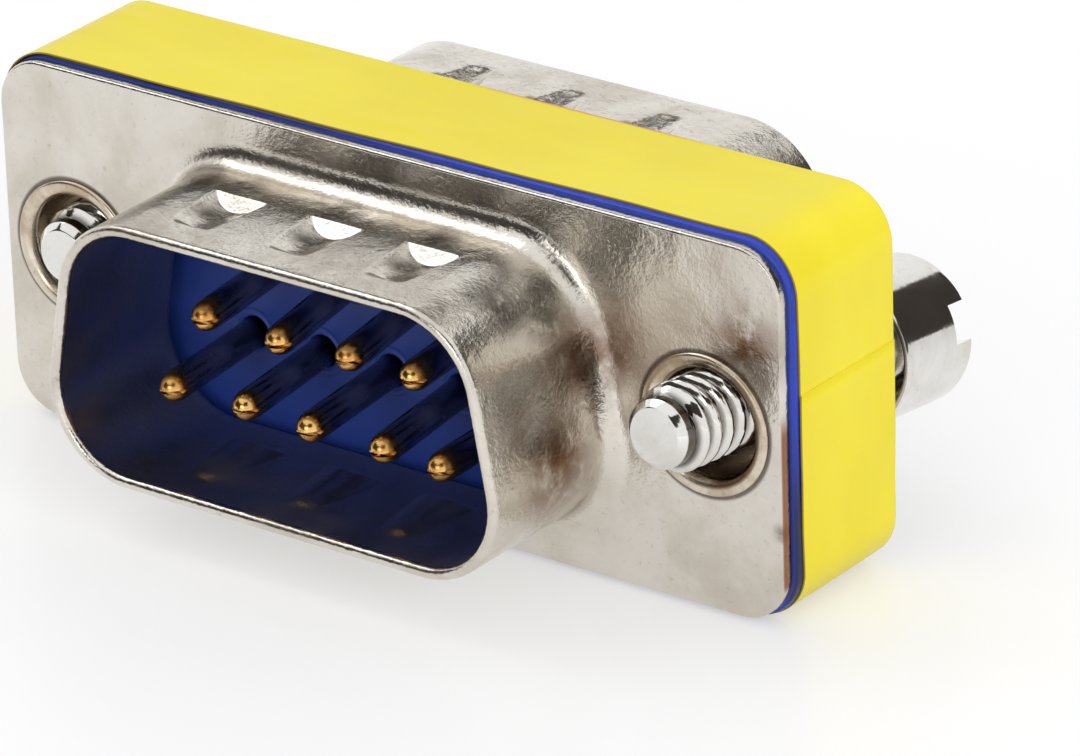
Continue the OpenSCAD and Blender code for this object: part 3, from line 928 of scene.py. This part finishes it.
# %% Geometry Nodes: rolled thread
thread_tree, g, given, end = new_group(
    "rolled thread", "GeometryNodeTree",
    [(key, "Float") for key in ("Radius", "Length", "Pitch", "Depth", "Lead", "Run Out")]
    + [("Finish", "Material")], [("Geometry", "Geometry")])
radius, length, pitch, depth, lead_len, run_out_len = list(given)[:6]
tube = g.new("GeometryNodeMeshCylinder", {"Vertices": 72, "Side Segments": 260,
                                          "Radius": radius, "Depth": length}, fill_type="NONE")
x, y, z = g.xyz(g.new("GeometryNodeInputPosition").outputs[0])
turn = g.math("DIVIDE", g.math("ARCTAN2", y, x), 2 * math.pi)
high = g.math("ADD", z, g.math("DIVIDE", length, 2.0))
climb = g.math("SUBTRACT", g.math("DIVIDE", high, pitch), turn)
phase = g.math("FRACT", g.math("ADD", climb, 8.0))
wave = g.math("ABSOLUTE", g.math("SUBTRACT", g.times(phase, 2.0), 1.0))
# The ridge runs out at the head, and the lead brings the tip end down to the thread's root
run_out = g.new("ShaderNodeMapRange",
                {"Value": high, "From Min": 0.0, "From Max": run_out_len}).outputs[0]
lead = g.new("ShaderNodeMapRange",
             {"Value": high, "From Min": g.math("SUBTRACT", length, lead_len),
              "From Max": g.math("SUBTRACT", length, g.times(lead_len, 0.3))}).outputs[0]
amount = g.math("MAXIMUM", g.times(g.remap(wave, 0.1, 0.8), run_out), lead)
shrink = g.math("SUBTRACT", 1.0, g.math("DIVIDE", g.times(amount, depth), radius))
moved = g.new("ShaderNodeCombineXYZ", {0: g.times(x, shrink), 1: g.times(y, shrink), 2: z})
put = g.new("GeometryNodeSetPosition", {"Geometry": tube.outputs["Mesh"],
                                        "Position": moved.outputs[0]})
end_tree(g, put.outputs[0], given["Finish"], end)
print(thread_tree.name, len(thread_tree.nodes), "nodes")


# %% Stud, tip and head
def add_thread(m, length):
    """Adds the threaded tube, along -Y from the head's base; returns its vertex numbers."""
    obj = add_object("thread", bpy.data.meshes.new("thread"))
    add_tree(obj, thread_tree,
             {"Radius": STUD_D / 2, "Length": length, "Pitch": THREAD_PITCH,
              "Depth": THREAD_DEPTH, "Lead": THREAD_LEAD, "Run Out": THREAD_RUN_OUT,
              "Finish": bright})
    apply_modifiers(obj)
    m.f += [tuple(p.vertices) for p in obj.data.polygons]
    ids = m.add([(v.co.x, -(v.co.z + length / 2), v.co.y) for v in obj.data.vertices])
    bpy.data.objects.remove(obj)
    return ids


def turn_of(m, i):
    """Angle of a vertex about the screw's axis."""
    return math.atan2(m.v[i][2], m.v[i][0])


def loop_at(m, ids, y):
    """The vertices at depth y, in the order of their angles."""
    return sorted([i for i in ids if abs(m.v[i][1] - y) < 1e-5], key=lambda i: turn_of(m, i))


def circle(m, rad, y, like):
    """A loop at depth y with the angles of another; rad is a radius, or a rule for it."""
    turns = [turn_of(m, i) for i in like]
    radii = [rad(t) if callable(rad) else rad for t in turns]
    return m.add([(r * math.cos(t), y, r * math.sin(t)) for r, t in zip(radii, turns)])


def add_tip(m, loop):
    """The end turned down to the thread's root, with a bevel and a flat face."""
    flat_r, root = TIP_D / 2, STUD_D / 2 - THREAD_DEPTH
    bevel = root - flat_r
    profile = [(root, bevel + 0.05), (root, bevel), (root - 0.02, bevel - 0.025),
               (flat_r + 0.04, 0.04), (flat_r + 0.015, 0.015), (flat_r - 0.01, 0.0),
               (flat_r - 0.06, 0.0)]
    loops = [loop] + [circle(m, rad, up - STUD_LEN, loop) for rad, up in profile]
    m.grid(loops)
    m.fan(loops[-1], (0, -STUD_LEN, 0))


def add_head(m, base, socket_rings=90):
    """The head from the stud outwards, over the end face and down the threaded socket."""
    r, c, bore = HEAD_D / 2, HEAD_CHAMFER, SOCKET_D / 2
    mouth, bottom = HEAD_LEN - SOCKET_CHAMFER, HEAD_LEN - SOCKET_LEN
    profile = [(STUD_D / 2 + 0.05, 0.0), (r - c - 0.05, 0.0), (r - c, 0.0),
               (r - 0.03, c - 0.07), (r, c)]
    profile += [(r, y) for y in np.linspace(c + 0.05, HEAD_LEN - c - 0.05, 7)]
    profile += [(r, HEAD_LEN - c), (r - 0.02, HEAD_LEN - 0.03), (r - 0.06, HEAD_LEN),
                (r - 0.12, HEAD_LEN), (bore + 0.22, HEAD_LEN), (bore + 0.16, HEAD_LEN),
                (bore + 0.02, mouth)]
    rows = [base] + [circle(m, rad, y, base) for rad, y in profile]
    for k in range(1, socket_rings):
        y = mouth - (SOCKET_LEN - SOCKET_CHAMFER) * k / socket_rings

        def cut_thread(t):
            wave = abs(((y / THREAD_PITCH - t / (2 * math.pi)) % 1.0) * 2 - 1)
            return bore + SOCKET_THREAD * ease(1.25 * wave)

        rows.append(circle(m, cut_thread, y, base))
    rows.append(circle(m, bore, bottom, base))
    m.grid(rows)
    m.fan(rows[-1], (0, bottom - 0.001, 0))


# %% Slot and groove marks
def cut_slot(obj, turn):
    """Takes a bar across the end of the head away with an exact boolean."""
    half = SLOT_W / 2
    corners = [(x, y, z) for x in (-HEAD_D, HEAD_D) for y in (HEAD_LEN - SLOT_DEPTH, HEAD_LEN + 1)
               for z in (-half, half)]
    quads = [(0, 1, 3, 2), (4, 6, 7, 5), (0, 4, 5, 1), (2, 3, 7, 6), (0, 2, 6, 4), (1, 5, 7, 3)]
    spin = Matrix.Rotation(-turn, 4, "Y")
    bar = bpy.data.meshes.new("bar")
    bar.from_pydata([(spin @ Vector(p)) * MM for p in corners], [], quads)
    point_outwards(bar)
    cutter = add_object("bar", bar)
    cut = obj.modifiers.new("slot", "BOOLEAN")
    cut.object, cut.operation, cut.solver = cutter, "DIFFERENCE", "EXACT"
    apply_modifiers(obj)
    bpy.data.objects.remove(cutter)


def mark_grooves(mesh):
    """Marks for the painted shade: 1 in the thread's root, 0.7 on the socket's wall, 0 elsewhere.
    """
    root, bottom = STUD_D / 2 - THREAD_DEPTH, HEAD_LEN - SOCKET_LEN
    tip_end = root - TIP_D / 2 + 0.02 - STUD_LEN
    groove = mesh.attributes.new("groove", "FLOAT", "POINT")
    for v, mark in zip(mesh.vertices, groove.data):
        y, rad = v.co.y / MM, math.hypot(v.co.x, v.co.z) / MM
        if y < tip_end or 0 < y < bottom:
            mark.value = 0.0
        elif y > bottom and rad < SOCKET_D / 2 + 0.1:
            mark.value = 0.7
        else:
            mark.value = max(0.0, min(1.0, (STUD_D / 2 - rad) / THREAD_DEPTH))


# %% Make the two jackscrews
def make_jackscrew(name, place, slot_turn):
    m = Mesh()
    side_len = STUD_LEN - TIP_LEN
    ids = add_thread(m, side_len)
    tip, base = loop_at(m, ids, -side_len), loop_at(m, ids, 0.0)
    add_tip(m, tip)
    add_head(m, base)
    obj = m.make(name, bright)
    cut_slot(obj, slot_turn)
    mark_grooves(obj.data)
    obj.data.transform(Matrix.Scale(MM, 4) @ place @ Matrix.Scale(1 / MM, 4))
    obj.data.set_sharp_from_angle(angle=math.radians(28))
    print(name, len(obj.data.polygons), "faces after the slot")
    return obj


seat = (SEAT_Y - MID_Y + HEAD_D / 2 * math.sin(LEAN)) / math.cos(LEAN) + RIGHT_DRAWN
right_place = (Matrix.Translation((SCREW_X, MID_Y, 0)) @ Matrix.Rotation(-LEAN, 4, "X")
               @ Matrix.Translation((0, seat, 0)))
left_place = Matrix.Translation((-SCREW_X, SEAT_Y + LEFT_DRAWN, 0))
left_screw = make_jackscrew("left_jackscrew_turned", left_place, LEFT_SLOT_TURN)
right_screw = make_jackscrew("right_jackscrew_turned", right_place, RIGHT_SLOT_TURN)

# %% [markdown]
# ## What stands for what
# Each detailed piece hides its CAD solid and is parented to an empty named for the same body.

# %% Parent to bodies and hide
for obj, body, slot, nodes in (
        (front_shell, "adapter", "nickel", ["front_shell"]),
        (rear_shell, "adapter", "nickel", ["rear_shell"]),
        (front_insulator, "adapter", "blue_plastic", ["front_insulator"]),
        (rear_insulator, "adapter", "blue_plastic", ["rear_insulator"]),
        (label, "adapter", "yellow_film", ["wrap_label"]),
        (left_eyelet, "adapter", "eyelet_plate", ["left_eyelet"]),
        (right_eyelet, "adapter", "eyelet_plate", ["right_eyelet"]),
        (left_screw, "left_screw", "bright_plate", ["left_jackscrew"]),
        (right_screw, "right_screw", "bright_plate", ["right_jackscrew"]),
        (front_pins, "adapter", "gold", ["contact_%d" % k for k in range(1, 10)]),
        (rear_pins, "adapter", "gold", [])):
    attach(obj, body)
    if nodes:
        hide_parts(*nodes)
    print(obj.name, "rides on", body)

# %% [markdown]
# ## Floor, light and cards
# The adapter stands on a pale floor that fades to white, lit softly from all round as in a light
# tent. Plated metal shows what is around it: in an even white world the steel would look like
# paper, so dark cards, seen only in reflections, stand where the photo's steel is dark. Small
# lamps overhead and in front give highlights. A large one at the right lifts the flank and the
# label's side, and is kept out of reflections, where it would burn a hot spot.


# %% Floor
def seen(n):
    """1 for rays from the camera or off a shiny surface, 0 for light that bounces."""
    path = n.new("ShaderNodeLightPath")
    return n.math("MAXIMUM", path.outputs["Is Camera Ray"], path.outputs["Is Glossy Ray"])


def staged(name, verts, faces, material, mirrored_only=False):
    """A piece of the studio; mirrored_only keeps it out of the light and the shadows."""
    mesh = bpy.data.meshes.new(name)
    mesh.from_pydata(verts, [], faces)
    mesh.materials.append(material)
    obj = add_object(name, mesh)
    if mirrored_only:
        obj.visible_diffuse = False
        obj.visible_shadow = False


def plain(name, tone, roughness):
    """A material of one tone; returns it, its helper and its shader."""
    mat, n, _ = new_material(name)
    bsdf = mat.node_tree.nodes["Principled BSDF"]
    bsdf.inputs["Base Color"].default_value = tone
    bsdf.inputs["Roughness"].default_value = roughness
    return mat, n, bsdf


pale, n, bsdf = plain("pale floor", (0.58, 0.58, 0.585, 1), 0.3)
bsdf.inputs["Specular IOR Level"].default_value = 0.12
bsdf.inputs["Emission Color"].default_value = (1, 1, 1, 1)
pale.node_tree.links.new(n.times(seen(n), 0.43), bsdf.inputs["Emission Strength"])
floor_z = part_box("wrap_label")[0][2]
staged("floor", [(-3, -3, floor_z), (3, -3, floor_z), (3, 3, floor_z), (-3, 3, floor_z)],
       [(0, 1, 2, 3)], pale)
print("floor at", round(floor_z * 1000, 2), "mm")

# %% World and lamps
world = bpy.data.worlds.new("studio")
scene.world = world
world.use_nodes = True
n = Nodes(world.node_tree)
sky = world.node_tree.nodes["Background"]
sky.inputs["Color"].default_value = (1, 1, 1, 1)
strength = n.math("ADD", n.times(seen(n), 0.28), 0.72)
world.node_tree.links.new(strength, sky.inputs["Strength"])

for name, spot, size, power in (("overhead", (-0.28, -0.02, 0.42), (0.22, 0.3), 0.3),
                                ("side", (0.58, -0.3, 0.22), (0.6, 0.45), 2.4),
                                ("front", (0.02, -0.5, 0.16), (0.25, 0.2), 0.3)):
    light = bpy.data.lights.new(name, "AREA")
    light.shape, light.size, light.size_y = "RECTANGLE", size[0], size[1]
    light.energy = power
    lamp = add_object(name, light)
    lamp.location = spot
    lamp.rotation_euler = (-Vector(spot)).to_track_quat("-Z", "Y").to_euler()
    lamp.visible_glossy = name != "side"
    print(name, "lamp of", power, "W")

# %% Dark cards
dark, n, bsdf = plain("dark card", (0.045, 0.036, 0.03, 1), 0.9)
CARD_DISTANCE, CARD_PIECES = 0.6, 12


def card(name, azimuth, low, high, width):
    """A curved dark card. Azimuth turns from +Y towards +X; all angles are in degrees."""
    ends = (azimuth - width / 2, azimuth + width / 2)
    angles = np.radians(np.linspace(*ends, CARD_PIECES + 1))
    z0 = max(CARD_DISTANCE * math.tan(math.radians(low)), floor_z + 0.001)
    z1 = CARD_DISTANCE * math.tan(math.radians(high))
    verts = [(CARD_DISTANCE * math.sin(a), CARD_DISTANCE * math.cos(a), z)
             for a in angles for z in (z0, z1)]
    faces = [(2 * k, 2 * k + 2, 2 * k + 3, 2 * k + 1) for k in range(CARD_PIECES)]
    staged(name, verts, faces, dark, mirrored_only=True)
    print(name, "at", azimuth, "degrees")


card("card_right_rear", 38, 0, 37, 76)
card("card_left_rear", -58, 30, 50, 38)
card("card_rear_high", -15, 43, 58, 50)
card("card_front_left", 214, 2, 39, 80)
card("card_camera_side", 150, 24, 54, 40)
